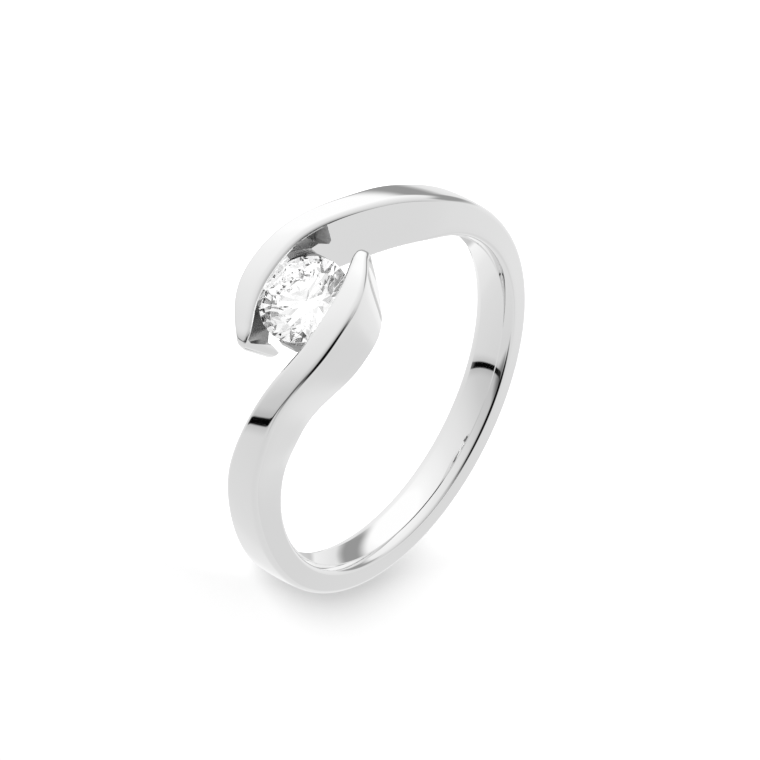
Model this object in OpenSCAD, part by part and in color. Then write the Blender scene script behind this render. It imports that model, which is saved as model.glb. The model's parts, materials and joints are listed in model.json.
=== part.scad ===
// Bypass solitaire ring: one cast band whose two arms sweep past a round stone.
// It is drawn upright first, with the finger along Y and the stone at the top (+Z),
// and is then laid on its side as it rests by itself on a flat surface.

/* [Band] */
// Radius of the finger hole
bore_r = 8.5; // [8:0.1:9.5]
// Thickness of the band under the finger
shank_t = 1.55; // [1.2:0.05:2]
// Height of the two arms beside the stone, from the finger hole to their top
head_t = 3.43; // [3.3:0.05:3.7]
// Rounding of the edges of the finger hole
bore_edge_r = 0.35; // [0.2:0.05:0.45]
// Rounding of the outer edges
outer_edge_r = 0.2; // [0.1:0.05:0.3]

/* [Stone] */
// Diameter of the stone
stone_d = 4.4; // [4.2:0.05:4.5]
// Width of the table across its corners, as a share of the diameter
table_share = 0.57; // [0.53:0.01:0.62]
// Slope of the main facets above the girdle, in degrees
crown_angle = 34.5; // [32:0.5:36]
// Slope of the main facets below the girdle, in degrees
pavilion_angle = 40.75; // [40:0.25:42]
// Height of the girdle
girdle_t = 0.13; // [0.08:0.01:0.2]
// Depth of the girdle below the top of the arms
girdle_drop = 0.96; // [0.9:0.02:1.1]
// Turn of the stone in its seat, in degrees
stone_turn = 39.5; // [0:0.5:45]

/* [Setting] */
// Thickness of the lip that each arm keeps above the stone's edge
lip_t = 0.45; // [0.4:0.05:0.5]
// Air left between the stone and its seat
seat_gap = 0.05; // [0.03:0.01:0.08]
// Thickness of the arm's outer wall beside the pockets
wall_t = 0.5; // [0.45:0.05:0.6]

/* [Hidden] */

// The band's bar, section by section. The other arm is the same one turned half round.
ANGLE = 0;   // degrees round the ring, from the middle of the band's underside
SWING = 1;   // how far the bar's middle has moved along the finger
WIDTH = 2;   // the bar's width along the finger
RISE = 3;    // share of the way from the band's thickness to the arms' height
SECTIONS = [
    // ANGLE, SWING, WIDTH, RISE
    [0,     0.00, 2.20, 0.00],
    [50,    0.00, 2.28, -0.02],
    [85,    0.00, 2.26, 0.02],
    [105,   0.01, 2.06, 0.12],
    [120,   0.04, 1.90, 0.27],
    [132,   0.20, 1.80, 0.46],
    [142,   0.60, 1.67, 0.65],
    [151,   1.04, 1.48, 0.81],
    [160,   1.67, 1.42, 0.95],
    [169,   2.28, 1.35, 0.995],
    [177,   2.45, 1.36, 1.00],
    [184,   2.36, 1.31, 1.00],
    [189,   2.04, 1.16, 0.995],
    [192.5, 1.70, 0.96, 0.98],
    [194.5, 1.52, 0.74, 0.965],
    [196,   1.44, 0.54, 0.89],
    [197,   1.42, 0.30, 0.72],
    [197.4, 1.42, 0.12, 0.57]
];
LAST = len(SECTIONS) - 1;
tip_angle = SECTIONS[LAST][ANGLE];
// The foot of the tip is rounded off, from this angle on and by this much
tip_start_angle = 194;
tip_foot = 0.5;

// Angles at which the bar's outline is worked out, close together where it bends
half_angles = [for (a = [4:4:100]) a, for (a = [102:2:190]) a, for (a = [191:1:195]) a, 195.6, 196.2, 196.7, 197.1, tip_angle];
bar_angles = [for (i = [len(half_angles) - 1:-1:0]) -half_angles[i], 0, for (a = half_angles) a];

// Corner points of a section, counted from a corner's flat side to its other one
outer_turns = [0, 30, 60, 90];
// The finger hole's edges stop just short of its wall, so that the wall itself stays round
bore_turns = [0, 24, 48, 70];
// A rounding stays smaller than this share of half the bar's width
edge_share = 0.8;
// How far the bar reaches into the finger hole before the hole is bored, except at the tips
bore_spare = 0.6;
// Small overlap between pieces of one cutter
overlap = 0.01;

stone_r = stone_d / 2;
top_r = bore_r + head_t;
girdle_z = top_r - girdle_drop;
lip_r = top_r - lip_t;
table_r = stone_r * table_share;
crown_h = (stone_r - table_r) * tan(crown_angle);
pavilion_h = stone_r * tan(pavilion_angle);
// Where the upper and lower small facets end, as shares of the way in from the girdle
star_share = 0.5;
lower_share = 0.77;
mains = 8;
half_step = 180 / mains;

// The pockets under the lips, all measured from the stone's axis.
// A solid block stays between an arm's two pockets, under the middle of the stone.
block_x = 1.35;
OUT = 0;     // distance out from the stone's axis along the arm
DROP = 1;    // depth below the girdle
ROOT_FLOOR = [
    // OUT, DROP
    [block_x, 0.27],
    [2.80, 0.58],
    [3.13, 1.07],
    [3.31, 0.92]
];
root_angle = 162;
pit_r = 3.2;
pit_drop = 1.45;
TIP_FLOOR = [
    // OUT, DROP
    [2.20, 1.80],
    [2.95, 0.10]
];
// The arm's outer wall beside the pockets, curved as seen along the stone's axis
back_r = 5.3;
back_x = 0.55;

// The shelf by which each arm carries the stone's edge
shelf_in_r = 1.5;
shelf_out_r = 2.48;
shelf_h = 0.67;
shelf_flat_x = 2.33;

// Slope of the small facets next to the girdle, which the seat clears
upper_half_angle = 41;
seat_r = stone_r + seat_gap;
round_fn = 96;

// How the ring lies: tipped until an arm and the far side of the band both touch what it lies on
arm_side = max([for (row = SECTIONS) row[SWING] + row[WIDTH] / 2]);
shank_side = SECTIONS[0][WIDTH] / 2;
arm_touch = bore_r + bore_edge_r;
shank_touch = bore_r + shank_t - outer_edge_r;
rest_tip = atan((arm_side - shank_side) / (arm_touch + shank_touch));
rest_lift = arm_side * cos(rest_tip) - arm_touch * sin(rest_tip);
head_reach = (arm_side - outer_edge_r) * sin(rest_tip) + top_r * cos(rest_tip);
shank_reach = (shank_side - outer_edge_r) * sin(rest_tip) + (bore_r + shank_t) * cos(rest_tip);
rest_shift = (shank_reach - head_reach) / 2;

// Slope of a column of the table at one of its rows, flat at the band's underside
function row_slope(i, c) =
    i == 0 ? 0
    : i == LAST ? (SECTIONS[i][c] - SECTIONS[i - 1][c]) / (SECTIONS[i][ANGLE] - SECTIONS[i - 1][ANGLE])
    : (SECTIONS[i + 1][c] - SECTIONS[i - 1][c]) / (SECTIONS[i + 1][ANGLE] - SECTIONS[i - 1][ANGLE]);

// Row of the table at or below an angle
function row_at(a, i = 0) = i >= LAST - 1 || SECTIONS[i + 1][ANGLE] > a ? i : row_at(a, i + 1);

// A column's smooth value at any angle of one half of the bar
function column(a, c) =
    let (
        i = row_at(a),
        step = SECTIONS[i + 1][ANGLE] - SECTIONS[i][ANGLE],
        t = (a - SECTIONS[i][ANGLE]) / step
    )
    (2 * pow(t, 3) - 3 * t * t + 1) * SECTIONS[i][c]
    + (pow(t, 3) - 2 * t * t + t) * step * row_slope(i, c)
    + (3 * t * t - 2 * pow(t, 3)) * SECTIONS[i + 1][c]
    + (pow(t, 3) - t * t) * step * row_slope(i + 1, c);

// How far into the rounded tip an angle is: 0 before it, 1 at its end
function into_tip(a) = pow(max(0, abs(a) - tip_start_angle) / (tip_angle - tip_start_angle), 2);

// One section of the bar, as points of [distance along the finger, distance from its axis]
function section(a) =
    let (
        half_w = column(abs(a), WIDTH) / 2,
        middle = sign(a) * column(abs(a), SWING),
        outer = bore_r + shank_t + (head_t - shank_t) * column(abs(a), RISE),
        foot = tip_foot * into_tip(a),
        r1 = min(outer_edge_r, half_w * edge_share),
        r2 = min(bore_edge_r, half_w * edge_share),
        right = concat(
            [for (t = outer_turns) [half_w - r1 + r1 * sin(t), outer - r1 + r1 * cos(t)]],
            [for (t = bore_turns) [half_w - r2 + r2 * cos(t), bore_r + foot + r2 - r2 * sin(t)]],
            [[half_w - r2 + r2 * cos(max(bore_turns)), foot > 0 ? bore_r + foot : bore_r - bore_spare]]
        ),
        n = len(right)
    )
    concat(
        [for (p = right) [middle + p[0], p[1]]],
        [for (i = [n - 1:-1:0]) [middle - right[i][0], right[i][1]]]
    );

// The bar, with room left inside for the finger hole
module bar() {
    n = len(section(0));
    count = len(bar_angles);
    points = [
        for (a = bar_angles) for (p = section(a)) [p[1] * sin(a), p[0], -p[1] * cos(a)]
    ];
    sides = [
        for (k = [0:count - 2]) for (i = [0:n - 1])
            let (j = (i + 1) % n)
            each [
                [k * n + i, (k + 1) * n + i, (k + 1) * n + j],
                [k * n + i, (k + 1) * n + j, k * n + j]
            ]
    ];
    polyhedron(
        points = points,
        faces = concat(
            sides,
            [[for (i = [0:n - 1]) i]],
            [[for (i = [n - 1:-1:0]) (count - 1) * n + i]]
        )
    );
}

// Room under the lip of the arm on the +Y side, from its outline as seen along the finger
module under_lip(outline, reach_r) {
    intersection() {
        translate([0, top_r, 0]) rotate([90, 0, 0]) linear_extrude(height = top_r) polygon(outline);
        translate([back_x, arm_side - wall_t - back_r, 0]) cylinder(h = top_r, r = back_r, $fn = 2 * round_fn);
        rotate([90, 0, 0]) cylinder(h = 2 * top_r, r = lip_r, center = true, $fn = 2 * round_fn);
        cylinder(h = top_r, r = reach_r, $fn = round_fn);
    }
}

// The pockets of one arm
module arm_pockets() {
    pit_z = girdle_z - pit_drop;
    root = concat(
        [for (row = ROOT_FLOOR) [row[OUT], girdle_z - row[DROP]]],
        [[top_r * tan(180 - root_angle), top_r], [block_x, top_r]]
    );
    pit = [[block_x, pit_z], [pit_r, pit_z], [pit_r, girdle_z], [block_x, girdle_z]];
    tip = concat(
        [[-block_x, bore_r - bore_spare], [-TIP_FLOOR[0][OUT], bore_r - bore_spare]],
        [for (row = TIP_FLOOR) [-row[OUT], girdle_z - row[DROP]]],
        [[-TIP_FLOOR[1][OUT], top_r], [-block_x, top_r]]
    );
    under_lip(root, top_r);
    under_lip(pit, pit_r);
    under_lip(tip, top_r);
}

// The curved shelf by which one arm carries the stone's edge
module arm_shelf() {
    top_z = girdle_z - girdle_t;
    intersection() {
        translate([0, 0, top_z - shelf_h]) rotate_extrude(angle = 90, $fn = round_fn)
            translate([shelf_in_r, 0]) square([shelf_out_r - shelf_in_r, shelf_h]);
        translate([0, -shelf_out_r, 0]) cube([shelf_flat_x, 2 * shelf_out_r, top_r]);
    }
}

// The stone's own shape, a little larger all round, cut out of the arms and their shelves
module stone_room() {
    low_z = girdle_z - girdle_t / 2 - seat_gap / cos(pavilion_angle);
    high_z = girdle_z + girdle_t / 2 + seat_gap / cos(upper_half_angle);
    translate([0, 0, low_z - pavilion_h])
        cylinder(h = seat_r * tan(pavilion_angle), r1 = 0, r2 = seat_r, $fn = round_fn);
    translate([0, 0, low_z + seat_gap * tan(pavilion_angle) - overlap])
        cylinder(h = high_z - low_z - seat_gap * (tan(pavilion_angle) + tan(upper_half_angle)) + 2 * overlap,
                 r = seat_r, $fn = round_fn);
    translate([0, 0, high_z - seat_gap * tan(upper_half_angle)])
        cylinder(h = (seat_r - table_r) * tan(upper_half_angle), r1 = seat_r, r2 = table_r, $fn = round_fn);
}

// Both halves of something that the ring has once on each arm
module both_arms() {
    children();
    rotate([0, 0, 180]) children();
}

// Lays the upright ring down on its side
module laid_down() {
    translate([0, rest_shift, rest_lift]) rotate([-90 + rest_tip, 0, 0]) children();
}

module band() {
    color("silver") laid_down() difference() {
        union() {
            difference() {
                bar();
                both_arms() arm_pockets();
            }
            both_arms() arm_shelf();
        }
        rotate([90, 0, 0]) cylinder(h = 4 * bore_r, r = bore_r, center = true, $fn = 4 * round_fn);
        stone_room();
    }
}

// Points of a ring of corners round the stone's axis
function facet_ring(r, z, first, count) =
    [for (i = [0:count - 1]) [r * cos(first + i * 360 / count), r * sin(first + i * 360 / count), z]];

// A round brilliant: table, star, kite and upper facets, girdle, lower and main facets
module stone() {
    upper_z = girdle_t / 2;
    star_r = table_r * cos(half_step) + star_share * (stone_r - table_r * cos(half_step));
    star_z = upper_z + (stone_r - star_r * cos(half_step)) * tan(crown_angle);
    lower_r = stone_r * (1 - lower_share);
    lower_z = -upper_z - (stone_r - lower_r * cos(half_step)) * tan(pavilion_angle);
    points = concat(
        facet_ring(table_r, upper_z + crown_h, 0, mains),
        facet_ring(star_r, star_z, half_step, mains),
        facet_ring(stone_r, upper_z, 0, 2 * mains),
        facet_ring(stone_r, -upper_z, 0, 2 * mains),
        facet_ring(lower_r, lower_z, half_step, mains),
        [[0, 0, -upper_z - pavilion_h]]
    );
    // Where each ring of corners starts in that list
    star = mains;
    upper = 2 * mains;
    under = 4 * mains;
    low = 6 * mains;
    culet = 7 * mains;
    facets = concat(
        [[for (i = [mains - 1:-1:0]) i]],
        [for (i = [0:mains - 1])
            let (
                next = (i + 1) % mains,
                before = (i + mains - 1) % mains,
                main = 2 * i,
                middle = main + 1,
                end = (main + 2) % (2 * mains)
            )
            each [
                [i, next, star + i],
                [i, star + i, upper + main, star + before],
                [star + i, upper + middle, upper + main],
                [star + i, upper + end, upper + middle],
                [upper + main, upper + middle, under + middle, under + main],
                [upper + middle, upper + end, under + end, under + middle],
                [low + i, under + main, under + middle],
                [low + i, under + middle, under + end],
                [culet, low + before, under + main, low + i]
            ]]
    );
    color("aliceblue") laid_down() translate([0, 0, girdle_z]) rotate([0, 0, stone_turn])
        polyhedron(points = points, faces = facets);
}

band();
stone();
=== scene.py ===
# %% [markdown]
# # A bypass solitaire ring
# The real ring is one bar of white gold, cast, filed and polished to a mirror.
# Its two arms sweep past a round brilliant and pinch the stone's edge between them.
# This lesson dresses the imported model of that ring.
# The metal gets a finer skin than the solid has, the stone gets every facet of a real cut,
# and the light is built from what the polished metal reflects in the photograph.

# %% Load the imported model
import json
import math

import bmesh
import bpy
import numpy as np
from mathutils import Matrix, Vector


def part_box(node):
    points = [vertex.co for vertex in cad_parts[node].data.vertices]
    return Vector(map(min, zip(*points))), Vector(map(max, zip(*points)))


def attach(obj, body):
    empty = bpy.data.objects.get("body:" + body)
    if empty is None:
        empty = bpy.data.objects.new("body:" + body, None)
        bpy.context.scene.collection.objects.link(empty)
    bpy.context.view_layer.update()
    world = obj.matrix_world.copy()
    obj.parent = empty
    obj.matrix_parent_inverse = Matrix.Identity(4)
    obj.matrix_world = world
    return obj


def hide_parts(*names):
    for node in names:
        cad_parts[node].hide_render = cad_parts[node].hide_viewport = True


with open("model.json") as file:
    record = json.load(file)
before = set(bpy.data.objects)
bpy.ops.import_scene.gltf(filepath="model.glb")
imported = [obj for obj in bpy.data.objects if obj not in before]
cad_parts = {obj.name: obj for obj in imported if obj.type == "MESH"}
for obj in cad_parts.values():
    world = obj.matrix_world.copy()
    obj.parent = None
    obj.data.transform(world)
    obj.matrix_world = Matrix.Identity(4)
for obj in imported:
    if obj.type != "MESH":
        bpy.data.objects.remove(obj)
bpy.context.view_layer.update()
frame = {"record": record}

# %% [markdown]
# ## The ring's own axes
# Laid down, the ring leans a little, because its head is wider than its shank.
# It is easier to draw it upright, so everything is made in the ring's own axes, in millimetres:
# Y along the finger, Z from the middle of the hole towards the stone, and X to the right.
# The record says where the finger hole is, and that is all that is needed to turn and place the rest.

# %% Axes and scale
MM = 0.001
hole = frame["record"]["mounts"][0]
bore_r = hole["dims"]["r_mm"]
along_finger = -Vector(hole["axis"]).normalized()
across_finger = Vector((1, 0, 0))
to_stone = across_finger.cross(along_finger)
ring_turn = Matrix((across_finger, along_finger, to_stone)).transposed()
ring_place = Matrix.Translation(Vector(hole["pos_m"])) @ ring_turn.to_4x4() @ Matrix.Scale(MM, 4)
print("finger hole:", 2 * bore_r, "mm across; stone points along", [round(c, 3) for c in to_stone])

# %% [markdown]
# ## The camera
# The photograph was taken from well back with a long lens, so the ring shows almost no perspective.
# The camera is set by its distance, the direction that it looks from and its roll.
# The ring fills the same part of the frame as in the photograph, a little below the middle,
# and a tiny turn of the camera does that without shifting the lens.

# %% Place the camera
FRAME_PX = 760
# The camera's distance in millimetres, and its focal length in pixels of the picture
CAMERA_AWAY = 200
FOCAL_PX = 4166
SENSOR_MM = 36
# Where the middle of the finger hole lies in the picture
HOLE_PX = (382.5, 396.1)
# The picture's right and the way back to the camera, in the ring's own axes
picture_right = Vector((0.5351, -0.7791, -0.3265))
picture_back = Vector((-0.1849, -0.4851, 0.8547)).normalized()
picture_right = (picture_right - picture_right.dot(picture_back) * picture_back).normalized()
picture_up = picture_back.cross(picture_right)


def placed(name, data):
    """A new object in the scene, from a camera, a mesh or a lamp."""
    made = bpy.data.objects.new(name, data)
    bpy.context.scene.collection.objects.link(made)
    return made


def aimed_camera():
    """A camera that sees the finger hole's middle at its place in the picture."""
    right_px, down_px = (p - FRAME_PX / 2 for p in HOLE_PX)
    back = FOCAL_PX * picture_back + right_px * picture_right - down_px * picture_up
    back.normalize()
    right = (picture_right - picture_right.dot(back) * back).normalized()
    turn = ring_turn @ Matrix((right, back.cross(right), back)).transposed()
    lens = bpy.data.cameras.new("long_lens")
    lens.sensor_width = SENSOR_MM
    lens.lens = SENSOR_MM * FOCAL_PX / FRAME_PX
    lens.clip_start, lens.clip_end = 10 * MM, 10000 * MM
    camera = placed("camera", lens)
    spot = ring_place @ (CAMERA_AWAY * picture_back)
    camera.matrix_world = Matrix.Translation(spot) @ turn.to_4x4()
    return camera


camera = aimed_camera()
bpy.context.scene.camera = camera
print("lens:", round(camera.data.lens, 1), "mm")
print("camera above the floor:", round(camera.location.z / MM, 1), "mm")

# %% [markdown]
# ## Three small helpers
# Every material needs colours and nodes, so these helpers come before the first of them.
# Colours are written as sRGB hex values, as a paint program shows them,
# and Blender's shaders want linear light, so one function turns the first into the second.
# Shader trees get long when each node takes four lines, so one function adds a node,
# sets its fields and fills its inputs, with plain values or with other nodes' outputs.
# Every real surface here starts from Blender's Principled shader and a colour, so one function makes those.

# %% Colour and node helpers
def linear(hex_colour):
    """An sRGB hex colour as linear red, green, blue and a full alpha."""
    parts = [int(hex_colour[i : i + 2], 16) / 255 for i in (0, 2, 4)]
    return [p / 12.92 if p <= 0.04045 else ((p + 0.055) / 1.055) ** 2.4 for p in parts] + [1]


def add(tree, kind, inputs=None, **fields):
    """Adds a node of that kind, with its fields set and its inputs filled or linked."""
    node = tree.nodes.new(kind)
    for name, value in fields.items():
        setattr(node, name, value)
    for socket, value in (inputs or {}).items():
        if isinstance(value, bpy.types.NodeSocket):
            tree.links.new(value, node.inputs[socket])
        else:
            node.inputs[socket].default_value = value
    return node


def new_material(name, hex_colour):
    """A material of that name and colour: itself, its node tree and its surface shader."""
    material = bpy.data.materials.new(name)
    material.use_nodes = True
    surface = material.node_tree.nodes["Principled BSDF"]
    surface.inputs["Base Color"].default_value = linear(hex_colour)
    return material, material.node_tree, surface


print("a middle grey, 808080, holds", round(linear("808080")[0], 3), "of white's light")

# %% [markdown]
# ## The sizes of the bar
# A ring maker thinks of this band as a bar whose section changes as it goes round.
# The table gives the section at a few angles from the middle of the band's underside:
# how far it has swung along the finger, how wide it is and how high its outer side has risen.
# The other arm is the same one turned half round, so one half is enough.

# %% Table of sections
ANGLE, SWING, WIDTH, RISE = range(4)
SECTIONS = [
    # ANGLE, SWING, WIDTH, RISE
    (0, 0.00, 2.20, 0.00),
    (50, 0.00, 2.28, -0.02),
    (85, 0.00, 2.26, 0.02),
    (105, 0.01, 2.06, 0.12),
    (120, 0.04, 1.90, 0.27),
    (132, 0.20, 1.80, 0.46),
    (142, 0.60, 1.67, 0.65),
    (151, 1.04, 1.48, 0.81),
    (160, 1.67, 1.42, 0.95),
    (169, 2.28, 1.35, 0.995),
    (177, 2.45, 1.36, 1.00),
    (184, 2.36, 1.31, 1.00),
    (189, 2.04, 1.16, 0.995),
    (192.5, 1.70, 0.96, 0.98),
    (194.5, 1.52, 0.74, 0.965),
    (196, 1.44, 0.54, 0.89),
    (197, 1.42, 0.30, 0.72),
    (197.4, 1.42, 0.12, 0.57),
]
# Thickness of the metal under the finger and at the top of the arms: a RISE of 0 and of 1
shank_t = 1.55
head_t = 3.43
tip_angle = SECTIONS[-1][ANGLE]
# Past this angle the side that faces the finger climbs, by so much at the very end of the tip
tip_start_angle = 194
tip_foot = 0.5
top_r = bore_r + head_t
arm_side = max(row[SWING] + row[WIDTH] / 2 for row in SECTIONS)
print("head:", round(2 * arm_side, 2), "mm along the finger")
print("top of the arms:", top_r, "mm from the hole's middle")

# %% [markdown]
# ## A curve with no kink in its bend
# Mirror metal is merciless: where a surface's bend jumps, the reflections break.
# A cubic spline through the rows has the same bend on both sides of each row,
# so light glides along the arms as it does on a well filed bar.

# %% Spline through a column of the table
def smooth_curve(x, y):
    """A function that runs smoothly through the points, flat at the first one."""
    x, y = np.array(x, float), np.array(y, float)
    step, last = np.diff(x), len(x) - 1
    slope = np.diff(y) / step
    matrix, target = np.zeros((last + 1, last + 1)), np.zeros(last + 1)
    matrix[0, :2], target[0] = (2 * step[0], step[0]), 6 * slope[0]
    for i in range(1, last):
        matrix[i, i - 1 : i + 2] = step[i - 1], 2 * (step[i - 1] + step[i]), step[i]
        target[i] = 6 * (slope[i] - slope[i - 1])
    matrix[last, last] = 1
    bend = np.linalg.solve(matrix, target)

    def curve(t):
        i = min(int(np.searchsorted(x, t, "right")) - 1, last - 1)
        u, v = x[i + 1] - t, t - x[i]
        bent = (bend[i] * u**3 + bend[i + 1] * v**3) / (6 * step[i])
        left = (y[i] / step[i] - bend[i] * step[i] / 6) * u
        right = (y[i + 1] / step[i] - bend[i + 1] * step[i] / 6) * v
        return bent + left + right

    return curve


columns = list(zip(*SECTIONS))
swing, width, rise = (smooth_curve(columns[ANGLE], columns[c]) for c in (SWING, WIDTH, RISE))
print("at 155 degrees the bar is", round(width(155), 2), "mm wide")

# %% [markdown]
# ## One section of the bar
# Seen end on, the bar is a rounded block. Some things that are too slight for a sketch matter in a mirror.
# The outer side is crowned by a few degrees, because it was finished on a polishing wheel.
# The section could be a bevelled block, but a bevel gives every edge the same round.
# Here each stretch is an arc between two slopes, drawn for one side and mirrored for the other.

# %% Outer side of a section
OUTER_CROWN = math.radians(5)
FLAT_STEPS, ROUND_STEPS = 6, 11


def edge_round(corner_u, corner_v, radius, start, end, up):
    """Points of a rounding from one slope to another, ending level with the corner."""
    middle_u = corner_u - radius * math.sin(end)
    return [
        (middle_u + radius * math.sin(t), corner_v - up * radius * (math.cos(start) - math.cos(t)))
        for t in np.linspace(start, end, ROUND_STEPS)
    ]


def outer_side(half, top, radius, end):
    """From the middle of the outer side to its edge: a shallow arc, then the rounding."""
    flat = half - radius * (math.sin(end) - math.sin(OUTER_CROWN))
    drop = flat * math.tan(OUTER_CROWN) / 2
    points = [(flat * s, top - drop * s * s) for s in np.linspace(0, 1, FLAT_STEPS, endpoint=False)]
    return points + edge_round(half, top - drop, radius, OUTER_CROWN, end, 1)


print("each edge is rounded with", ROUND_STEPS, "points")

# %% [markdown]
# ## The side that a finger feels
# The inside is crowned too, and past a fine crease it is eased, so that the ring slides over a knuckle.
# The crease is a step of a few hundredths of a millimetre, too small to feel,
# but the mirror breaks there, and that is what draws the fine lines along the bore in the photograph.
# A subdivided mesh would melt such a step away, so its points are set one by one.

# %% Bore side of a section
BORE_EDGE_R = 0.26
BORE_CROWN = math.radians(12)
EASED_FROM, EASED_TO = math.radians(18), math.radians(26)
# The crease's place as a share of the half width, half its breadth and its step
CREASE_AT = 0.6
CREASE_MM, CREASE_RISE = 0.012, 0.05
# Near the tips the rounding and the crease are no more than these shares of the half width
BORE_EDGE_SHARE, CREASE_SHARE = 0.3, 0.02


def bore_side(half, base, ease):
    """From the middle of the bore to its edge: crown, fine crease, eased stretch, rounding."""
    radius = min(BORE_EDGE_R, BORE_EDGE_SHARE * half)
    crease, step = CREASE_AT * half, ease * CREASE_RISE
    fine = min(CREASE_MM, CREASE_SHARE * half)
    crown, first, last = (math.tan(ease * slope) for slope in (BORE_CROWN, EASED_FROM, EASED_TO))
    bend = crown / (2 * crease)
    points = [(u, base + bend * u * u) for u in np.linspace(0, crease - 2 * fine, FLAT_STEPS)]
    points.append((crease - fine, base + bend * (crease - fine) ** 2))
    start, foot = crease + fine, points[-1][1] + step
    turn = ease * EASED_TO
    reach = half - radius * (1 - math.sin(turn)) - start
    for u in [0, fine] + list(np.linspace(0, reach, FLAT_STEPS)[1:-1]):
        points.append((start + u, foot + first * u + (last - first) * u * u / (2 * reach)))
    return points + edge_round(half, foot + (first + last) * reach / 2, radius, turn, math.pi / 2, -1)


print("from the middle of the bore to its edge:", len(bore_side(width(0) / 2, bore_r, 1)), "points")

# %% [markdown]
# ## Closing the section
# Beside the stone the arms' inner edges are softer, with a crisp rim below, from the setter's last strokes.
# The easing of the inside ends where the shank turns into the arms, because no finger rubs there.
# Both changes come in smoothly round the ring, so that no reflection jumps from one section to the next.

# %% Points round a section
OUTSIDE_R, INSIDE_R = 0.28, 0.42
# The softer edge stops at this slope, and the crisp rim takes over
INSIDE_TO, INSIDE_RIM_R = math.radians(55), 0.1
# Near the tips both are no more than these shares of the half width
EDGE_SHARE, RIM_SHARE = 0.8, 0.2
# The easing fades past this angle, within so many degrees, on a curve that is so many widths long
EASED_UNTIL, EASED_FADE, FADE_WIDTHS = 105, 35, 8
WALL_STEPS = 5


def section(angle):
    """Points round the bar at that angle, each as distance along the finger and from its axis."""
    a = abs(angle)
    half = width(a) / 2
    middle = math.copysign(swing(a), angle)
    away = 1 if angle > 0 else -1
    outer = bore_r + shank_t + (head_t - shank_t) * rise(a)
    base = bore_r + tip_foot * (max(0, a - tip_start_angle) / (tip_angle - tip_start_angle)) ** 2
    ease = 1 / (1 + math.exp((a - EASED_UNTIL - EASED_FADE / 2) / (EASED_FADE / FADE_WIDTHS)))
    share = rise(a) if a < tip_start_angle else 1
    sides = []
    for side in (1, -1):
        # The side towards the stone has the broader, softer edge
        soft = share if side != away else 0
        radius = min(OUTSIDE_R + (INSIDE_R - OUTSIDE_R) * soft, EDGE_SHARE * half)
        end = math.pi / 2 + (INSIDE_TO - math.pi / 2) * soft
        rim = min(INSIDE_RIM_R, RIM_SHARE * half)
        top = outer_side(half - rim * (1 - math.sin(end)), outer, radius, end)
        top += edge_round(half, top[-1][1], rim, end, math.pi / 2, 1)[1:]
        low = bore_side(half, base, ease)
        wall = [(half, v) for v in np.linspace(top[-1][1], low[-1][1], WALL_STEPS)]
        sides.append([(middle + side * u, v) for u, v in top + wall[1:-1] + low[::-1]])
    return sides[0] + sides[1][-2:0:-1]


print("points round a section:", len(section(0)))

# %% [markdown]
# ## Sweeping the bar
# A curve with a bevel could sweep the bar, but its profile stays the same shape all the way.
# So the sections are set round the hole and joined by quads, closer together at the small tips.
# The two ends are closed by one flat face each, so the mesh is watertight and can be cut.

# %% Mesh of the bar
# Degrees between the sections, and the angle where the finer ones begin
BAND_STEP, TIP_STEP = 1, 0.2
FINE_FROM = 186


def new_object(name, points, faces):
    """A mesh object from points and faces; the ring's own are in its axes, in millimetres."""
    mesh = bpy.data.meshes.new(name)
    mesh.from_pydata([tuple(p) for p in points], [], faces)
    return placed(name, mesh)


def bar():
    """The whole bar, from the tip of one arm to the tip of the other."""
    coarse = np.linspace(0, FINE_FROM, round(FINE_FROM / BAND_STEP) + 1)
    fine = np.linspace(FINE_FROM, tip_angle, round((tip_angle - FINE_FROM) / TIP_STEP) + 1)[1:]
    half = np.concatenate([coarse, fine])
    points, count = [], 0
    for angle in np.concatenate([-half[:0:-1], half]):
        t = math.radians(angle)
        points += [(rho * math.sin(t), y, -rho * math.cos(t)) for y, rho in section(angle)]
        count += 1
    n = len(points) // count
    faces = [
        (k * n + i, k * n + (i + 1) % n, (k + 1) * n + (i + 1) % n, (k + 1) * n + i)
        for k in range(count - 1)
        for i in range(n)
    ]
    ends = [tuple(range(n - 1, -1, -1)), tuple((count - 1) * n + i for i in range(n))]
    return new_object("band_polished", points, faces + ends)


def face_outwards(thing):
    """Turns every face to point out of the solid."""
    work = bmesh.new()
    work.from_mesh(thing.data)
    bmesh.ops.recalc_face_normals(work, faces=work.faces)
    work.to_mesh(thing.data)
    volume = work.calc_volume()
    work.free()
    return volume


band = bar()
print("bar:", len(band.data.polygons), "faces,", round(face_outwards(band), 1), "cubic mm")

# %% [markdown]
# ## Tools that cut the setting
# A setter opens the arms from inside with a burr until the stone drops in under two lips of metal.
# The same is done here: simple solids stand for the burr's cuts, and Boolean modifiers take them away.
# Each tool is a plain prism, or a profile turned about an axis.

# %% Prisms and turned solids
ROUND_SIDES = 192
# Points on the axis that lie this close together are one point
ON_AXIS_MM = 1e-5


def prism(name, outline, near, far):
    """A solid from an outline in X and Z, between two distances along the finger."""
    n = len(outline)
    points = [(x, y, z) for y in (near, far) for x, z in outline]
    faces = [(i, (i + 1) % n, n + (i + 1) % n, n + i) for i in range(n)]
    made = new_object(name, points, faces + [tuple(range(n)), tuple(range(2 * n - 1, n - 1, -1))])
    face_outwards(made)
    return made


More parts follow.
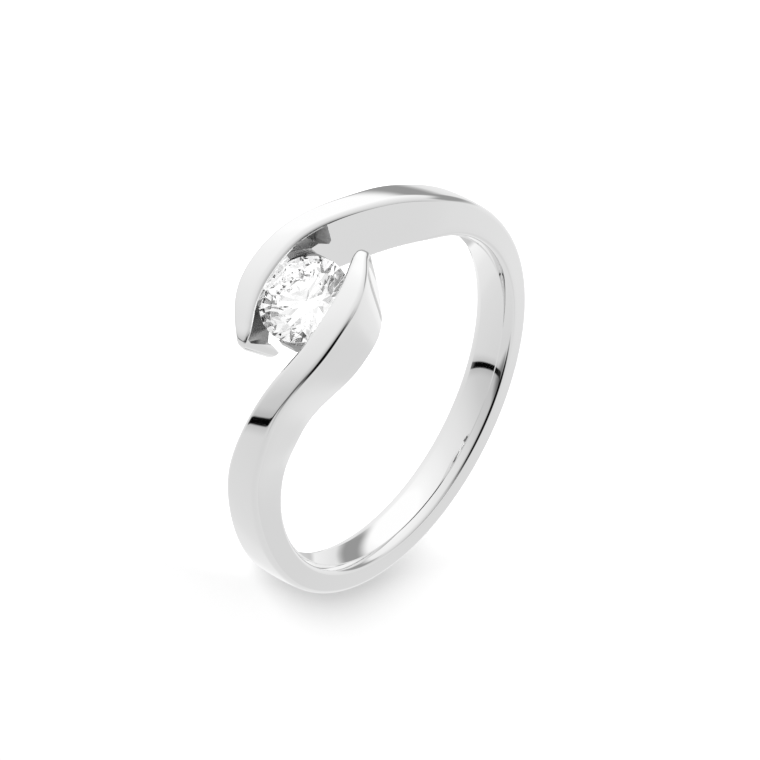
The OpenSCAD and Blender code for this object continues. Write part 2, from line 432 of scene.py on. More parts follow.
def turned(name, profile, sweep=360, centre=(0, 0), sides=ROUND_SIDES):
    """A profile of distances from a vertical axis and heights, turned about that axis."""
    n, whole = len(profile), sweep == 360
    rings = sides if whole else sides * sweep // 360 + 1
    points = []
    for k in range(rings):
        t = math.radians(sweep) * k / (rings if whole else rings - 1)
        points += [(centre[0] + r * math.cos(t), centre[1] + r * math.sin(t), z) for r, z in profile]
    # A stretch of the profile that lies on the axis sweeps out no face
    swept = [i for i in range(n) if profile[i][0] or profile[(i + 1) % n][0]]
    faces = []
    for k in range(rings if whole else rings - 1):
        a, b = k * n, (k + 1) % rings * n
        faces += [(a + i, a + (i + 1) % n, b + (i + 1) % n, b + i) for i in swept]
    if not whole:
        faces += [tuple(range(n)), tuple(range(len(points) - 1, len(points) - n - 1, -1))]
    made = new_object(name, points, faces)
    work = bmesh.new()
    work.from_mesh(made.data)
    bmesh.ops.remove_doubles(work, verts=work.verts, dist=ON_AXIS_MM)
    work.to_mesh(made.data)
    work.free()
    face_outwards(made)
    return made


print("a turned solid has", ROUND_SIDES, "sides")

# %% [markdown]
# ## One Boolean step
# A Boolean modifier joins, cuts or intersects two closed solids.
# The exact solver forgives more, but the manifold one is chosen, because it takes closed meshes only
# and always gives a closed one back.

# %% Boolean step
SOLVER = "MANIFOLD"


def combine(base, tool, how):
    """Applies one Boolean step to the base and throws the tool away."""
    step = base.modifiers.new("cut", "BOOLEAN")
    step.operation, step.object, step.solver = how, tool, SOLVER
    ready = base.evaluated_get(bpy.context.evaluated_depsgraph_get())
    made = bpy.data.meshes.new_from_object(ready)
    base.modifiers.clear()
    base.data = made
    bpy.data.objects.remove(tool)
    return base


print("Boolean solver:", SOLVER.lower())

# %% [markdown]
# ## The pockets
# Each arm has a root pocket, where the other arm's tip ends, and a pocket inside its own tip.
# Both stop under a lip of metal that shows from above as the arm's unbroken top.
# Their floors are sloped, and a thin outer wall is left, curved as seen from above.
# All of it is given by a few sizes, most of them measured from the stone, because the stone decides the fit.

# %% Sizes of the stone and the pockets
stone_low, stone_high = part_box("stone")
stone_r = (stone_high.x - stone_low.x) / MM / 2
# Height of the girdle, the stone's thin rim, and where its middle lies
girdle_t = 0.13
girdle_z = top_r - 0.96
# Thickness of the lip above the pockets and of the wall outside them
lip_t = 0.3
wall_t = 0.5
# Half the width of the metal that is left under the stone's middle
block_x = 1.35
# The root pocket's far side leans outwards and would meet the arm's top at this angle round the ring
root_angle = 162
# A deeper pit in the root pocket, beside the stone
pit_r, pit_drop = 2.85, 1.45
# Floors: distance from the middle, and drop below the girdle
ROOT_FLOOR = [(block_x, 0.27), (2.80, 0.58), (3.13, 1.07), (3.31, 0.92)]
TIP_FLOOR = [(2.20, 1.80), (2.95, 0.10)]
# The arc that the outer wall follows, as seen from above
back_x, back_r = 0.55, 5.3
# The tip's pocket is open to the finger hole, so its tool starts inside the hole
pocket_low = bore_r - 0.6
print("stone:", round(2 * stone_r, 2), "mm across; girdle", round(girdle_z, 2), "mm from the hole's middle")

# %% [markdown]
# ## Cutting one arm's pockets
# Each pocket is drawn as the outline that shows along the finger, and made into a prism.
# Drums then trim it, as the sweep of a round burr would: one leaves the outer wall, another the lip.
# The faces could be modelled by hand, but cuts meet in the same crisp rims that a burr leaves.

# %% Pockets of one arm
def drum(name, radius, centre=(0, 0)):
    """A solid cylinder, taller than the ring on both sides."""
    tall = 2 * top_r
    return turned(name, [(0, -tall), (radius, -tall), (radius, tall), (0, tall)], centre=centre)


def under_lip(name, outline, reach=None):
    """Room under the lip of the arm on the far side, from its outline as seen along the finger."""
    room = prism(name, outline, 0, top_r)
    combine(room, drum("wall", back_r, (back_x, arm_side - wall_t - back_r)), "INTERSECT")
    if reach:
        combine(room, drum("reach", reach), "INTERSECT")
    lip = drum("lip", top_r - lip_t)
    lip.data.transform(Matrix.Rotation(math.pi / 2, 4, "X"))
    return combine(room, lip, "INTERSECT")


def pockets():
    """The three cuts of one arm, as one tool."""
    root_top = top_r * math.tan(math.radians(180 - root_angle))
    root = [(x, girdle_z - drop) for x, drop in ROOT_FLOOR] + [(root_top, top_r), (block_x, top_r)]
    pit_z = girdle_z - pit_drop
    pit = [(block_x, pit_z), (pit_r, pit_z), (pit_r, girdle_z), (block_x, girdle_z)]
    tip = [(-block_x, pocket_low), (-TIP_FLOOR[0][0], pocket_low)]
    tip += [(-x, girdle_z - drop) for x, drop in TIP_FLOOR]
    tip += [(-TIP_FLOOR[1][0], top_r), (-block_x, top_r)]
    tool = under_lip("pockets", root)
    combine(tool, under_lip("pit", pit, pit_r), "UNION")
    return combine(tool, under_lip("tip", tip), "UNION")


def half_turned(thing):
    """The same thing on the other arm: turned half round the stone's axis."""
    other = placed(thing.name + "_other", thing.data.copy())
    other.data.transform(Matrix.Rotation(math.pi, 4, "Z"))
    return other


tool = pockets()
print("pockets of one arm:", len(tool.data.polygons), "faces")

# %% [markdown]
# ## White gold, polished to a mirror
# White gold is plated with rhodium and buffed until it mirrors, which the eye reads as bright, without a hue.
# It is a metal, so it keeps the default IOR, and its colour is the colour of the reflection.
# A buffed surface still has hairlines of a few hundredths of a millimetre and the faintest waviness,
# which the picture can only just show, so both are drawn a little coarser than they are.
# Photographs of scratches could be wrapped round the ring, but noise in the ring's own space has no seam.

# %% White gold, mirror polished
HAIRLINE_MM = 0.05
# Hairlines run across the band, as the wheel does, and along them the pattern changes this much less
HAIRLINE_STRETCH = 0.08
# Breadth and height of the waves that polishing by hand leaves
WAVE_MM = 1.6
WAVE_DEEP_MM = 0.02


def white_gold_mirror_polished():
    """Rhodium-plated white gold after the last buff: a mirror with a breath of haze."""
    material, tree, surface = new_material("white_gold_mirror_polished", "f4f4f4")
    surface.inputs["Metallic"].default_value = 1
    place = add(tree, "ShaderNodeTexCoord").outputs["Object"]
    drawn_out = add(tree, "ShaderNodeMapping", {"Vector": place, "Scale": (1, 1, HAIRLINE_STRETCH)})
    lines = {"Vector": drawn_out.outputs["Vector"], "Scale": 1 / (HAIRLINE_MM * MM), "Detail": 2}
    lines["Roughness"] = 0.6
    hairlines = add(tree, "ShaderNodeTexNoise", lines)
    spread = {"From Min": 0.35, "From Max": 0.75, "To Min": 0.02, "To Max": 0.06}
    haze = add(tree, "ShaderNodeMapRange", {"Value": hairlines.outputs["Fac"], **spread})
    tree.links.new(haze.outputs["Result"], surface.inputs["Roughness"])
    waves = add(tree, "ShaderNodeTexNoise", {"Vector": place, "Scale": 1 / (WAVE_MM * MM), "Detail": 1})
    swell = {"Height": waves.outputs["Fac"], "Strength": 0.02, "Distance": WAVE_DEEP_MM * MM}
    relief = add(tree, "ShaderNodeBump", swell)
    tree.links.new(relief.outputs["Normal"], surface.inputs["Normal"])
    return material


mirror_metal = white_gold_mirror_polished()
print("material:", mirror_metal.name)

# %% [markdown]
# ## White gold, cut with a burr
# A buff can't reach into the pockets, so they keep the fine satin of the burr, and their grey is set a shade
# below the polished metal's, which is painted shade for the hollows.
# In the narrow pockets of the tips, and on the shelves under the stone, a much darker grey of the same metal
# is painted shade for the dark in those hollows.
# The chatter of the burr's teeth could be carved into the mesh, but it only roughens the light,
# so it is drawn with bump, by one function for both.

# %% White gold, cut with a burr
# Breadth and depth of one bite of the burr's teeth, drawn coarser than they are
BURR_MM = 0.1
BURR_DEEP_MM = 0.015


def white_gold_burr_cut(name, shade):
    """The same metal inside the pockets, with the fine chatter that a setter's burr leaves."""
    material, tree, surface = new_material(name, shade)
    surface.inputs["Metallic"].default_value = 1
    place = add(tree, "ShaderNodeTexCoord").outputs["Object"]
    marks = {"Vector": place, "Scale": 1 / (BURR_MM * MM), "Detail": 3}
    chatter = add(tree, "ShaderNodeTexNoise", marks).outputs["Fac"]
    satin = add(tree, "ShaderNodeMapRange", {"Value": chatter, "To Min": 0.08, "To Max": 0.2})
    tree.links.new(satin.outputs["Result"], surface.inputs["Roughness"])
    bites = {"Height": chatter, "Strength": 0.6, "Distance": BURR_DEEP_MM * MM}
    relief = add(tree, "ShaderNodeBump", bites)
    tree.links.new(relief.outputs["Normal"], surface.inputs["Normal"])
    return material


# Its grey, a shade below the polished metal's f4f4f4, is partly painted shade for the pockets; the satin
# comes from the roughness and bump
cut_metal = white_gold_burr_cut("white_gold_burr_cut", "dadada")
# This much darker grey is painted shade, for the tips' pockets and the shelves under the stone
cut_metal_painted_shade = white_gold_burr_cut("white_gold_burr_cut_painted_shade", "9a9a9a")
print("materials:", cut_metal.name, "and", cut_metal_painted_shade.name)

# %% [markdown]
# ## White gold, filed
# Where only a fine file has been, as in the seat and at the far end of the root pockets,
# the metal scatters light widely and looks pale and dull.
# Its strokes could be drawn with bump as well, but they are finer than the picture can show,
# so they only make the dullness a little uneven.

# %% White gold, filed
# Breadth of a fine file's strokes, drawn coarser than they are
FILED_MM = 0.1


def white_gold_filed():
    """The same metal where only a fine file has been: pale and dull, because it scatters light."""
    material, tree, surface = new_material("white_gold_filed", "f4f4f4")
    surface.inputs["Metallic"].default_value = 1
    place = add(tree, "ShaderNodeTexCoord").outputs["Object"]
    marks = {"Vector": place, "Scale": 1 / (FILED_MM * MM), "Detail": 2}
    strokes = add(tree, "ShaderNodeTexNoise", marks).outputs["Fac"]
    dull = add(tree, "ShaderNodeMapRange", {"Value": strokes, "To Min": 0.95, "To Max": 1})
    tree.links.new(dull.outputs["Result"], surface.inputs["Roughness"])
    return material


filed_metal = white_gold_filed()
print("material:", filed_metal.name)

# %% [markdown]
# ## Cutting both arms
# A Boolean cut leaves the tool's material on the new faces, as long as both solids list the same materials.
# So every solid gets all the finishes, and shows the one that its cut should leave.

# %% Cut both arms
MIRROR, CUT, FILED, PAINTED_SHADE_CUT = range(4)
# The far end of the root pocket is dressed with a file, from this X outwards
root_end_x = 3.1
# Faces that look along the finger by more than this are the pocket's walls, which no file reaches
WALL_FACING = 0.5


def finished(thing, finish):
    """Gives a solid all the finishes and shows one, so that its cut leaves that one on the band."""
    thing.data.materials.clear()
    for material in (mirror_metal, cut_metal, filed_metal, cut_metal_painted_shade):
        thing.data.materials.append(material)
    for face in thing.data.polygons:
        face.material_index = finish
    return thing


finished(band, MIRROR)
finished(tool, CUT)
for face in tool.data.polygons:
    if face.center.x > root_end_x and abs(face.normal.y) < WALL_FACING:
        face.material_index = FILED
    # The tip's pocket, at negative X, gets the dark grey that is painted shade
    if face.center.x < 0:
        face.material_index = PAINTED_SHADE_CUT
other = half_turned(tool)
combine(band, tool, "DIFFERENCE")
combine(band, other, "DIFFERENCE")
print("with pockets:", len(band.data.polygons), "faces")

# %% [markdown]
# ## The shelf and the seat
# In each tip a curved shelf carries the stone's edge, and the stone's own shape is then cut
# out of all the metal with a few hundredths to spare, as a setter's seat burr does.
# The stone itself could be the tool, but then it would touch the metal everywhere, which no setter gets.

# %% Add the shelves and cut the seat
SEAT_GAP = 0.05
# The shelf's inner and outer radius, its height, and where its outer end is cut flat
shelf_in, shelf_out, shelf_h, shelf_flat_x = 1.5, 2.38, 0.5, 2.24
# How far the tool that cuts it flat reaches past it, above and below
SHELF_TOOL_REACH = 2
TABLE_SHARE = 0.57
table_r = TABLE_SHARE * stone_r
pavilion_angle = math.radians(40.75)
upper_half_angle = math.radians(41)


def shelf():
    """The quarter ring of metal under the stone's edge, flat at its outer end."""
    top = girdle_z - girdle_t
    ring = turned(
        "shelf",
        [(shelf_in, top - shelf_h), (shelf_out, top - shelf_h), (shelf_out, top), (shelf_in, top)],
        sweep=90,
    )
    under, over = top - SHELF_TOOL_REACH, top + SHELF_TOOL_REACH
    square = [(0, under), (shelf_flat_x, under), (shelf_flat_x, over), (0, over)]
    return combine(ring, prism("shelf_end", square, -shelf_out, shelf_out), "INTERSECT")


def seat():
    """The stone's shape with a little room all round."""
    r = stone_r + SEAT_GAP
    slopes = pavilion_angle, upper_half_angle
    under, over = (SEAT_GAP / math.cos(slope) - SEAT_GAP * math.tan(slope) for slope in slopes)
    low = girdle_z - girdle_t / 2 - under
    high = girdle_z + girdle_t / 2 + over
    culet = low - r * math.tan(pavilion_angle)
    table = high + (r - table_r) * math.tan(upper_half_angle)
    return turned("seat", [(0, culet), (r, low), (r, high), (table_r, table), (0, table)])


# The shelves get the dark grey too: painted shade for the dark under the stone's edge
ledge = finished(shelf(), PAINTED_SHADE_CUT)
combine(band, half_turned(ledge), "UNION")
combine(band, ledge, "UNION")
combine(band, finished(seat(), FILED), "DIFFERENCE")
print("finished band:", len(band.data.polygons), "faces,", [m.name for m in band.data.materials])

# %% [markdown]
# ## Shading and placing the band
# Where cuts cross they leave points almost on top of one another, so these become one point first.
# Smooth shading hides the small faces, and edges sharper than 30 degrees stay crisp.
# Normals could be averaged by face area instead, but the crisp rims would then need marking by hand.
# The mesh is turned and scaled into the frame at the very end, and then rides on the ring's one body.
# In the photograph the clear stone stays white beside the metal, so it looks past the band into the tent.

# %% Finish the band
SHARP = math.radians(30)
SAME_POINT_MM = 0.00005


def merge_close_points(thing):
    """Merges the points that the Boolean steps left almost on top of one another."""
    work = bmesh.new()
    work.from_mesh(thing.data)
    before = len(work.verts)
    bmesh.ops.remove_doubles(work, verts=work.verts, dist=SAME_POINT_MM)
    bmesh.ops.dissolve_degenerate(work, edges=work.edges, dist=SAME_POINT_MM)
    merged = before - len(work.verts)
    work.to_mesh(thing.data)
    work.free()
    return merged


def finish_piece(thing, node):
    """Moves a piece from the ring's axes to the frame and hands it to the model."""
    thing.data.transform(ring_place)
    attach(thing, "root")
    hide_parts(node)


print("points merged:", merge_close_points(band))
band.data.shade_smooth()
band.data.set_sharp_from_angle(angle=SHARP)
finish_piece(band, "band")
band.visible_transmission = False
print("band volume:", round(face_outwards(band) / MM**3, 1), "cubic mm")

# %% [markdown]
# ## The stone, cut facet by facet
# A brilliant starts as a round blank and is ground flat in 57 places. Above the girdle these are the table,
# eight stars, eight kites and sixteen upper halves, and below it sixteen lower halves and eight mains.
# Each facet is a plane, and three of its corners are enough to find it.
# The corners come from the angles and shares that cutters use, and not from a list of points.

# %% Corners and planes of the cut
CROWN_ANGLE = math.radians(34.5)
STAR_SHARE, LOWER_SHARE = 0.5, 0.77
MAINS = 8
half_step = math.pi / MAINS
upper_z = girdle_t / 2
crown_h = (stone_r - table_r) * math.tan(CROWN_ANGLE)
star_r = table_r * math.cos(half_step) + STAR_SHARE * (stone_r - table_r * math.cos(half_step))
star_z = upper_z + (stone_r - star_r * math.cos(half_step)) * math.tan(CROWN_ANGLE)
lower_r = stone_r * (1 - LOWER_SHARE)
lower_z = -upper_z - (stone_r - lower_r * math.cos(half_step)) * math.tan(pavilion_angle)
culet = Vector((0, 0, -upper_z - stone_r * math.tan(pavilion_angle)))


def corner(r, step, z):
    """A corner of the cut, counted in half steps round the stone."""
    return Vector((r * math.cos(step * half_step), r * math.sin(step * half_step), z))


def facet_corners():
    """Three corners of every facet, from the table down."""
    table = [corner(table_r, s, upper_z + crown_h) for s in range(0, 2 * MAINS + 2, 2)]
    facets = [table[:3]]
    for s in range(0, 2 * MAINS, 2):
        star, low_star = corner(star_r, s + 1, star_z), corner(lower_r, s + 1, lower_z)
        above = [corner(stone_r, s + k, upper_z) for k in range(3)]
        below = [corner(stone_r, s + k, -upper_z) for k in range(3)]
        facets.append((table[s // 2], table[s // 2 + 1], star))
        facets.append((table[s // 2], star, above[0]))
        for k in range(2):
            facets.append((star, above[k + 1], above[k]))
            facets.append((low_star, below[k + 1], below[k]))
        facets.append((culet, low_star, below[0]))
    return facets


print("facets:", len(facet_corners()), "and crown", round(crown_h, 2), "mm high")

# %% [markdown]
# ## Grinding the stone
# The corners could be joined into faces directly, but the girdle would then be a polygon.
# Slicing a round blank with every plane, as a cutter grinds it, leaves the girdle truly round and scalloped.

# %% Grind the stone
BLANK_SIDES = 128
# How much taller the blank is than the stone, at each end
BLANK_SPARE = 0.1
ON_PLANE_MM = 1e-6
# Faces that meet at less than this are one facet
FLAT_WITHIN = math.radians(0.5)


def brilliant():
    """A round blank with every facet ground on."""
    r, top, bottom = stone_r, upper_z + crown_h + BLANK_SPARE, culet.z - BLANK_SPARE
    profile = [(0, bottom), (r, bottom), (r, top), (0, top)]
    blank = turned("stone_brilliant", profile, sides=BLANK_SIDES)
    work = bmesh.new()
    work.from_mesh(blank.data)
    middle = Vector((0, 0, 0))
    for a, b, c in facet_corners():
        normal = (b - a).cross(c - a).normalized()
        if normal.dot(middle - a) > 0:
            normal.negate()
        cut = bmesh.ops.bisect_plane(
            work,
            geom=work.verts[:] + work.edges[:] + work.faces[:],
            dist=ON_PLANE_MM,
            plane_co=a,
            plane_no=normal,
            clear_outer=True,
        )
        rim = [e for e in cut["geom_cut"] if isinstance(e, bmesh.types.BMEdge)]
        bmesh.ops.holes_fill(work, edges=rim)
    bmesh.ops.dissolve_limit(work, angle_limit=FLAT_WITHIN, verts=work.verts, edges=work.edges)
    bmesh.ops.recalc_face_normals(work, faces=work.faces)
    work.to_mesh(blank.data)
    work.free()
    return blank


stone = brilliant()
print("stone:", len(stone.data.polygons), "faces,", round(2 * stone_r, 2), "mm across")

# %% [markdown]
# ## Diamond
# A diamond is perfectly clear and bends light far more than glass does, with an IOR of 2.42.
# Light that enters the top is thrown about inside and comes back out of the top,
# so the stone shows a broken picture of the studio: white where a lamp is, black where the room is.
# Its facets are ground flat and polished, so nothing is smoothed and the roughness is nil.
# A pattern would only hide that, and a Glass shader would do as well,
# but the Principled one is the material that an exported model keeps.

# %% Colourless diamond, polished
def diamond_polished():
    """Cut diamond: clear, flat facets and strong bending of light."""
    material, _, surface = new_material("diamond_polished", "ffffff")
    surface.inputs["Roughness"].default_value = 0
    surface.inputs["IOR"].default_value = 2.42
    surface.inputs["Transmission Weight"].default_value = 1
    return material


# How far the stone is turned in its seat
STONE_TURN = math.radians(39.5)
stone.data.materials.append(diamond_polished())
stone.data.transform(Matrix.Translation((0, 0, girdle_z)) @ Matrix.Rotation(STONE_TURN, 4, "Z"))
finish_piece(stone, "stone")
print("material:", stone.data.materials[0].name)

# %% [markdown]
# ## The studio, as the metal sees it
# Polished metal has hardly any look of its own: it shows the room.
# In the photograph the ring stands in a small light tent, about a hand's breadth from its walls:
# a white table below, a soft box above, and a thin dark gap where the table ends.
# The camera looks in from a dark room, and that is what draws the black lines along the edges.
# The tent here is a sphere of that size round the ring, which glows in those greys.
# It can't be a far sky, because the ring is a fifth as big as the tent,
# so its top and its foot see the same gap in different directions.
# Here the ring lies down, so the tent is turned with it, and the metal shows the same room.

# %% Directions in the photographer's studio
STUDIO_CAMERA_TILT = math.radians(39.3)
image_up = ring_turn @ picture_up
image_back = ring_turn @ picture_back
studio_up = image_up * math.cos(STUDIO_CAMERA_TILT) + image_back * math.sin(STUDIO_CAMERA_TILT)
studio_up.normalize()
studio_right = ring_turn @ picture_right
studio_away = studio_up.cross(studio_right).normalized()


def studio_direction(azimuth, elevation):
    """A direction in that studio: azimuth 0 is away from the camera, 90 to the right."""
    a, e = math.radians(azimuth), math.radians(elevation)
    level = studio_away * math.cos(a) + studio_right * math.sin(a)
    return level * math.cos(e) + studio_up * math.sin(e)


print("up in the photograph's studio:", [round(c, 3) for c in studio_up])

# %% [markdown]
# ## Light and dark in the tent
# The greys are given by what they are in the studio. Each place on the metal shows one direction in it,
# so the greys were matched by comparing a render with the photograph, one direction at a time.
# Light falls off with the angle from the soft box, and the table's white from its brightest part.
# Over that lie the gaps, which are level bands with soft rims, and round patches, such as the dark room.
# The stone bends its light from other places than the metal does: from the bright cloth all round,
# from the dark room, and from a few dark things at the side, which give its facets their strokes.

# %% Greys of the tent
SOFT_BOX, BRIGHT_TABLE = studio_direction(-5, 50), studio_direction(5, -30)
# Degrees from the middle of the light, and the grey there
SKY = [(0, "ffffff"), (22, "ffffff"), (27, "f9f9f9"), (37, "f2f2f2"), (45, "eeeeee"), (53, "e8e8e8")]
SKY += [(67, "e2e2e2"), (76, "dcdcdc"), (86, "d3d3d3"), (95, "cacaca"), (180, "b0b0b0")]
TABLE = [(0, "fdfdfd"), (10, "fafafa"), (22, "f3f3f3"), (35, "ededed"), (42, "e7e7e7"), (57, "e3e3e3")]
TABLE += [(64, "dedede"), (75, "dbdbdb"), (90, "d9d9d9"), (110, "d6d6d6"), (180, "cecece")]
# Each band: how much its level tips, heights of its four rims, the direction that it faces,
# between what limits it fades out sideways, its share and its grey
BANDS = [
    ("penumbra", 0.084, (-0.25, -0.13, -0.09, 0.03), (-175, 0), (-0.15, 0.2), 0.45, "9c9c9c"),
    ("table_end", 0.084, (-0.155, -0.138, -0.086, -0.068), (-175, 0), (-0.15, 0.2), 1, "060606"),
    ("rear_gap", 0, (-0.14, 0.06, 0.24, 0.46), (32, 8), (0.66, 0.84), 1, "969696"),
]
# Each patch: the direction of its middle, how far it is full and where it ends, its share and its grey
PATCHES = [
    ("dim_front", (150, 12), 14, 42, 0.6, "a0a0a0"),
    ("dark_room", (147, 0), 18, 34, 1, "060606"),
    ("dark_room_left", (-172, -2), 6, 20, 0.7, "303030"),
    ("under_ring", (0, -39), 5, 13, 0.5, "707070"),
    ("near_table", (84, -47), 8, 18, 0.35, "c4c4c4"),
    ("rear_shade", (5, -16), 10, 24, 0.2, "868686"),
]
# What shows through the stone
STONE_PATCHES = [
    ("dark_room", (180, 8), 20, 30, 1, "101010"),
    ("dark_side", (104, 34), 12, 26, 1, "101010"),
    ("dark_low", (120, 14), 8, 20, 1, "101010"),
    ("camera", (180, 39), 8, 22, 0.3, "101010"),
]
print("the tent has", len(BANDS), "bands and", len(PATCHES), "patches")

# %% [markdown]
# ## Painting light into a material
# The tent could hold real soft boxes and black cards, and then each would need its own mesh and lamp.
# Here one direction of view is compared with a few named directions, and the greys follow from the angles:
# a ramp for light that falls off, a soft rim for every edge, and one grey laid over another.

# %% Ramps, rims and layers
def falling_light(tree, view, middle, stops):
    """Greys by the angle from the middle of a light; the angle's cosine places them on a ramp."""
    near = add(tree, "ShaderNodeVectorMath", {0: view, 1: tuple(middle)}, operation="DOT_PRODUCT")
    halves = {0: near.outputs["Value"], 1: 0.5, 2: 0.5}
    share = add(tree, "ShaderNodeMath", halves, operation="MULTIPLY_ADD")
    ramp = add(tree, "ShaderNodeValToRGB", {"Fac": share.outputs["Value"]})
    elements = ramp.color_ramp.elements
    marks = sorted((math.cos(math.radians(angle)) / 2 + 0.5, shade) for angle, shade in stops)
    while len(elements) < len(marks):
        elements.new(0.5)
    for element, (position, shade) in zip(elements, marks):
        element.position, element.color = position, linear(shade)
    return ramp.outputs["Color"]


def soft_rim(tree, view, direction, low, high, to=1):
    """Nothing below one height along a direction, all above another, and a smooth rise between."""
    along = add(tree, "ShaderNodeVectorMath", {0: view, 1: tuple(direction)}, operation="DOT_PRODUCT")
    limits = {"Value": along.outputs["Value"], "From Min": low, "From Max": high, "To Max": to}
    return add(tree, "ShaderNodeMapRange", limits, interpolation_type="SMOOTHSTEP").outputs["Result"]


def laid_over(tree, room, masks, shade):
    """The room with one grey laid over it where all the masks allow it."""
    share = masks[0]
    for mask in masks[1:]:
        share = add(tree, "ShaderNodeMath", {0: share, 1: mask}, operation="MULTIPLY").outputs["Value"]
    layers = {"Factor": share, "A": room, "B": linear(shade)}
    return add(tree, "ShaderNodeMix", layers, data_type="RGBA").outputs["Result"]


print("layers: a sky of", len(SKY), "greys over a table of", len(TABLE))

# %% [markdown]
# ## The tent's cloth
# Real tents are thin white nylon with lamps outside, which the eye sees as an even glow without a grain.
# The cloth could be lit by lamps here too, but then its greys would have to be found by moving them,
# so it glows by itself, and each place has the grey that the layers give it.

# %% Nylon, lit from outside
# Between these heights the table's greys give way to the sky's
TABLE_EDGE = (-0.1, -0.04)


def nylon_lit_from_outside(name, bands, patches, glow):
    """Light tent cloth: a smooth even glow, whose grey depends on the place alone."""
    material = bpy.data.materials.new(name)
    material.use_nodes = True
    tree = material.node_tree
    tree.nodes.clear()
    place = add(tree, "ShaderNodeTexCoord").outputs["Object"]
    view = add(tree, "ShaderNodeVectorMath", {0: place}, operation="NORMALIZE").outputs["Vector"]
    sky = falling_light(tree, view, SOFT_BOX, SKY)
    table = falling_light(tree, view, BRIGHT_TABLE, TABLE)
    above = soft_rim(tree, view, studio_up, *TABLE_EDGE)
    layers = {"Factor": above, "A": table, "B": sky}
    room = add(tree, "ShaderNodeMix", layers, data_type="RGBA").outputs["Result"]
    for _, tip, heights, faces, fade, share, shade in bands:
        level = studio_up + tip * studio_away
        masks = [
            soft_rim(tree, view, level, heights[0], heights[1]),
            soft_rim(tree, view, level, heights[3], heights[2]),
            soft_rim(tree, view, studio_direction(*faces), *fade, share),
        ]
        room = laid_over(tree, room, masks, shade)
    for _, middle, full, gone, share, shade in patches:
        rims = math.cos(math.radians(gone)), math.cos(math.radians(full))
        masks = [soft_rim(tree, view, studio_direction(*middle), *rims, share)]
        room = laid_over(tree, room, masks, shade)
    light = add(tree, "ShaderNodeEmission", {"Color": room, "Strength": glow})
    add(tree, "ShaderNodeOutputMaterial", {"Surface": light.outputs["Emission"]})
    material.cycles.emission_sampling = "NONE"
    return material


TENT_GLOW, STONE_GLOW = 1.1, 1.5
mirrored_cloth = nylon_lit_from_outside("nylon_mirrored", BANDS, PATCHES, TENT_GLOW)
stone_cloth = nylon_lit_from_outside("nylon_behind_stone", [], STONE_PATCHES, STONE_GLOW)
print("materials:", mirrored_cloth.name, "and", stone_cloth.name)

# %% [markdown]
# ## Two tents
# The tent is a thin skin that only polished and clear things see.
# The camera looks through it, it throws no shadow, and the floor isn't lit by it.
# One room can't be right for both pieces without its last detail, so there are two tents:
# the metal mirrors the inner one, and the stone sees the outer one, which is brighter.

# %% Tents
TENT_R = 100
TENT_SIDES, TENT_RINGS = 48, 24


def light_tent(name, radius, cloth):
    """A ball of cloth round the ring, which neither the camera nor anything matt sees."""
    mesh = bpy.data.meshes.new(name)
    work = bmesh.new()
    bmesh.ops.create_uvsphere(work, u_segments=TENT_SIDES, v_segments=TENT_RINGS, radius=radius * MM)
    work.to_mesh(mesh)
    work.free()
    tent = placed(name, mesh)
    tent.location = Vector(hole["pos_m"])
    mesh.materials.append(cloth)
    tent.visible_camera = tent.visible_diffuse = tent.visible_shadow = False
    return tent


mirrored = light_tent("mirrored_tent", TENT_R, mirrored_cloth)
mirrored.visible_transmission = False
behind = light_tent("tent_behind_stone", TENT_R + 1, stone_cloth)
behind.visible_glossy = False
print("tents:", 2 * TENT_R, "mm across,", len(mirrored.data.polygons), "faces each")

# %% [markdown]
# ## Floor
# The photograph's ground is a white without a grain, such as a sheet of background paper gives.
# A curved backdrop could be built, but the camera looks down on the ring, so a flat sheet is enough.

# %% Floor
FLOOR_HALF = 5000 * MM


def matt_white_paper():
    """White background paper: quite matt, so that nothing glints on it."""
    material, _, surface = new_material("matt_white_paper", "e8e8e8")
    surface.inputs["Roughness"].default_value = 1
    surface.inputs["Specular IOR Level"].default_value = 0
    return material


def floor():
    """A plain pale floor under the ring."""
    h = FLOOR_HALF
    made = new_object("floor", [(-h, -h, 0), (h, -h, 0), (h, h, 0), (-h, h, 0)], [(0, 1, 2, 3)])
    made.data.materials.append(matt_white_paper())
    made.visible_glossy = made.visible_transmission = False
    return made


floor()
print("floor:", 2 * FLOOR_HALF, "m wide")

# %% [markdown]
# ## Sky and lamps for the floor
# There is only a breath of shadow at the ring's foot, and white all round it.
# A dome of soft lamps could do that, but a pale sky and a low lamp behind the ring give the same shadow.
# A second lamp beside the camera fills the hole, because a lamp there throws its shadows out of sight.

# %% Sky and lamps
SKY_GLOW = 0.8
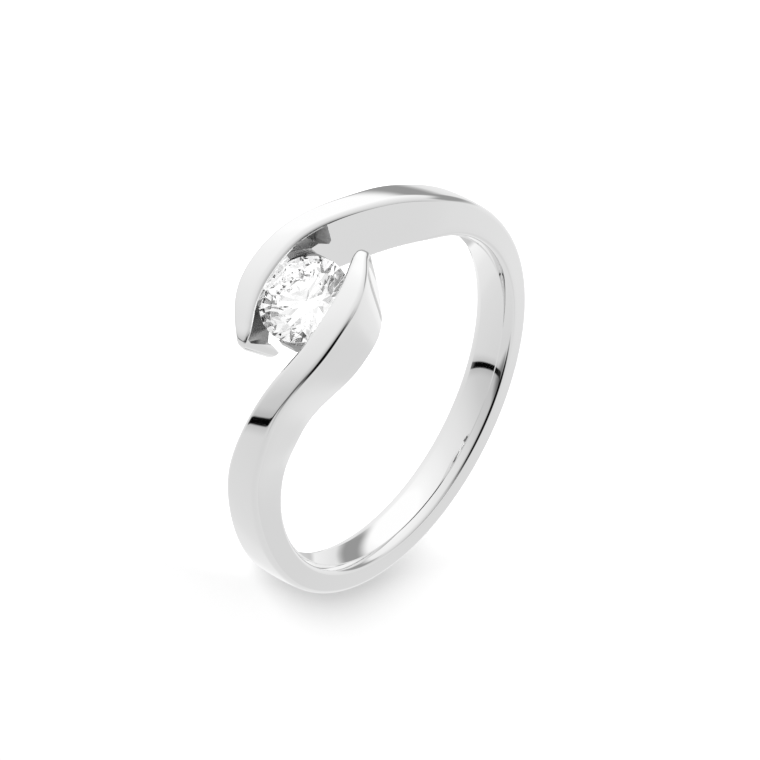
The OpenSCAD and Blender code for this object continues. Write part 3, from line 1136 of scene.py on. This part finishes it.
# Where the low lamp shines from; a sun has no distance, so only the direction counts
LAMP_FROM = Vector((-0.12, 2.14, 1))
LAMP_GLOW = 3.6
LAMP_SOFTNESS = math.radians(20)
FILL_WATTS = 3.2
# The place in the picture that the middle of the fill lamp's beam meets
FILL_AIM_PX = (310, 175)
FILL_SPREAD = math.radians(11.4)
FILL_SOFT_RIM = 0.35


def pale_sky():
    """An even pale light from all sides."""
    world = bpy.data.worlds.new("pale_sky")
    world.use_nodes = True
    surface = world.node_tree.nodes["Background"]
    surface.inputs["Color"].default_value = linear("ffffff")
    surface.inputs["Strength"].default_value = SKY_GLOW
    bpy.context.scene.world = world


def lamp(name, kind, spot, away, **fields):
    """A lamp that only matt things see, shining from one side to the other."""
    light = bpy.data.lights.new(name, kind)
    for field, value in fields.items():
        setattr(light, field, value)
    made = placed(name, light)
    made.location = spot
    made.rotation_euler = away.to_track_quat("Z", "Y").to_euler()
    made.visible_glossy = made.visible_transmission = False
    return made


pale_sky()
lamp("low_lamp", "SUN", LAMP_FROM, LAMP_FROM, energy=LAMP_GLOW, angle=LAMP_SOFTNESS)
right_px, down_px = FILL_AIM_PX[0] - HOLE_PX[0], FILL_AIM_PX[1] - HOLE_PX[1]
aim = ring_turn @ (picture_back - picture_right * right_px / FOCAL_PX + picture_up * down_px / FOCAL_PX)
beam = {"energy": FILL_WATTS, "spot_size": FILL_SPREAD, "spot_blend": FILL_SOFT_RIM}
lamp("fill_lamp", "SPOT", camera.location, aim, **beam)
print("low lamp:", round(math.degrees(math.asin(LAMP_FROM.normalized().z)), 1), "degrees above the floor")

# %% [markdown]
# ## Rendering choices
# The plain view transform keeps white at white.
# A filmic one is kinder to bright lamps, but it would turn the paper grey.
# Light passes many facets inside the stone, so it may bounce often.

# %% View and bounces
STONE_BOUNCES, METAL_BOUNCES = 32, 16
scene = bpy.context.scene
scene.view_settings.view_transform = "Standard"
scene.cycles.max_bounces = STONE_BOUNCES
scene.cycles.glossy_bounces = METAL_BOUNCES
scene.cycles.transmission_bounces = STONE_BOUNCES
print("light bounces up to", scene.cycles.max_bounces, "times")
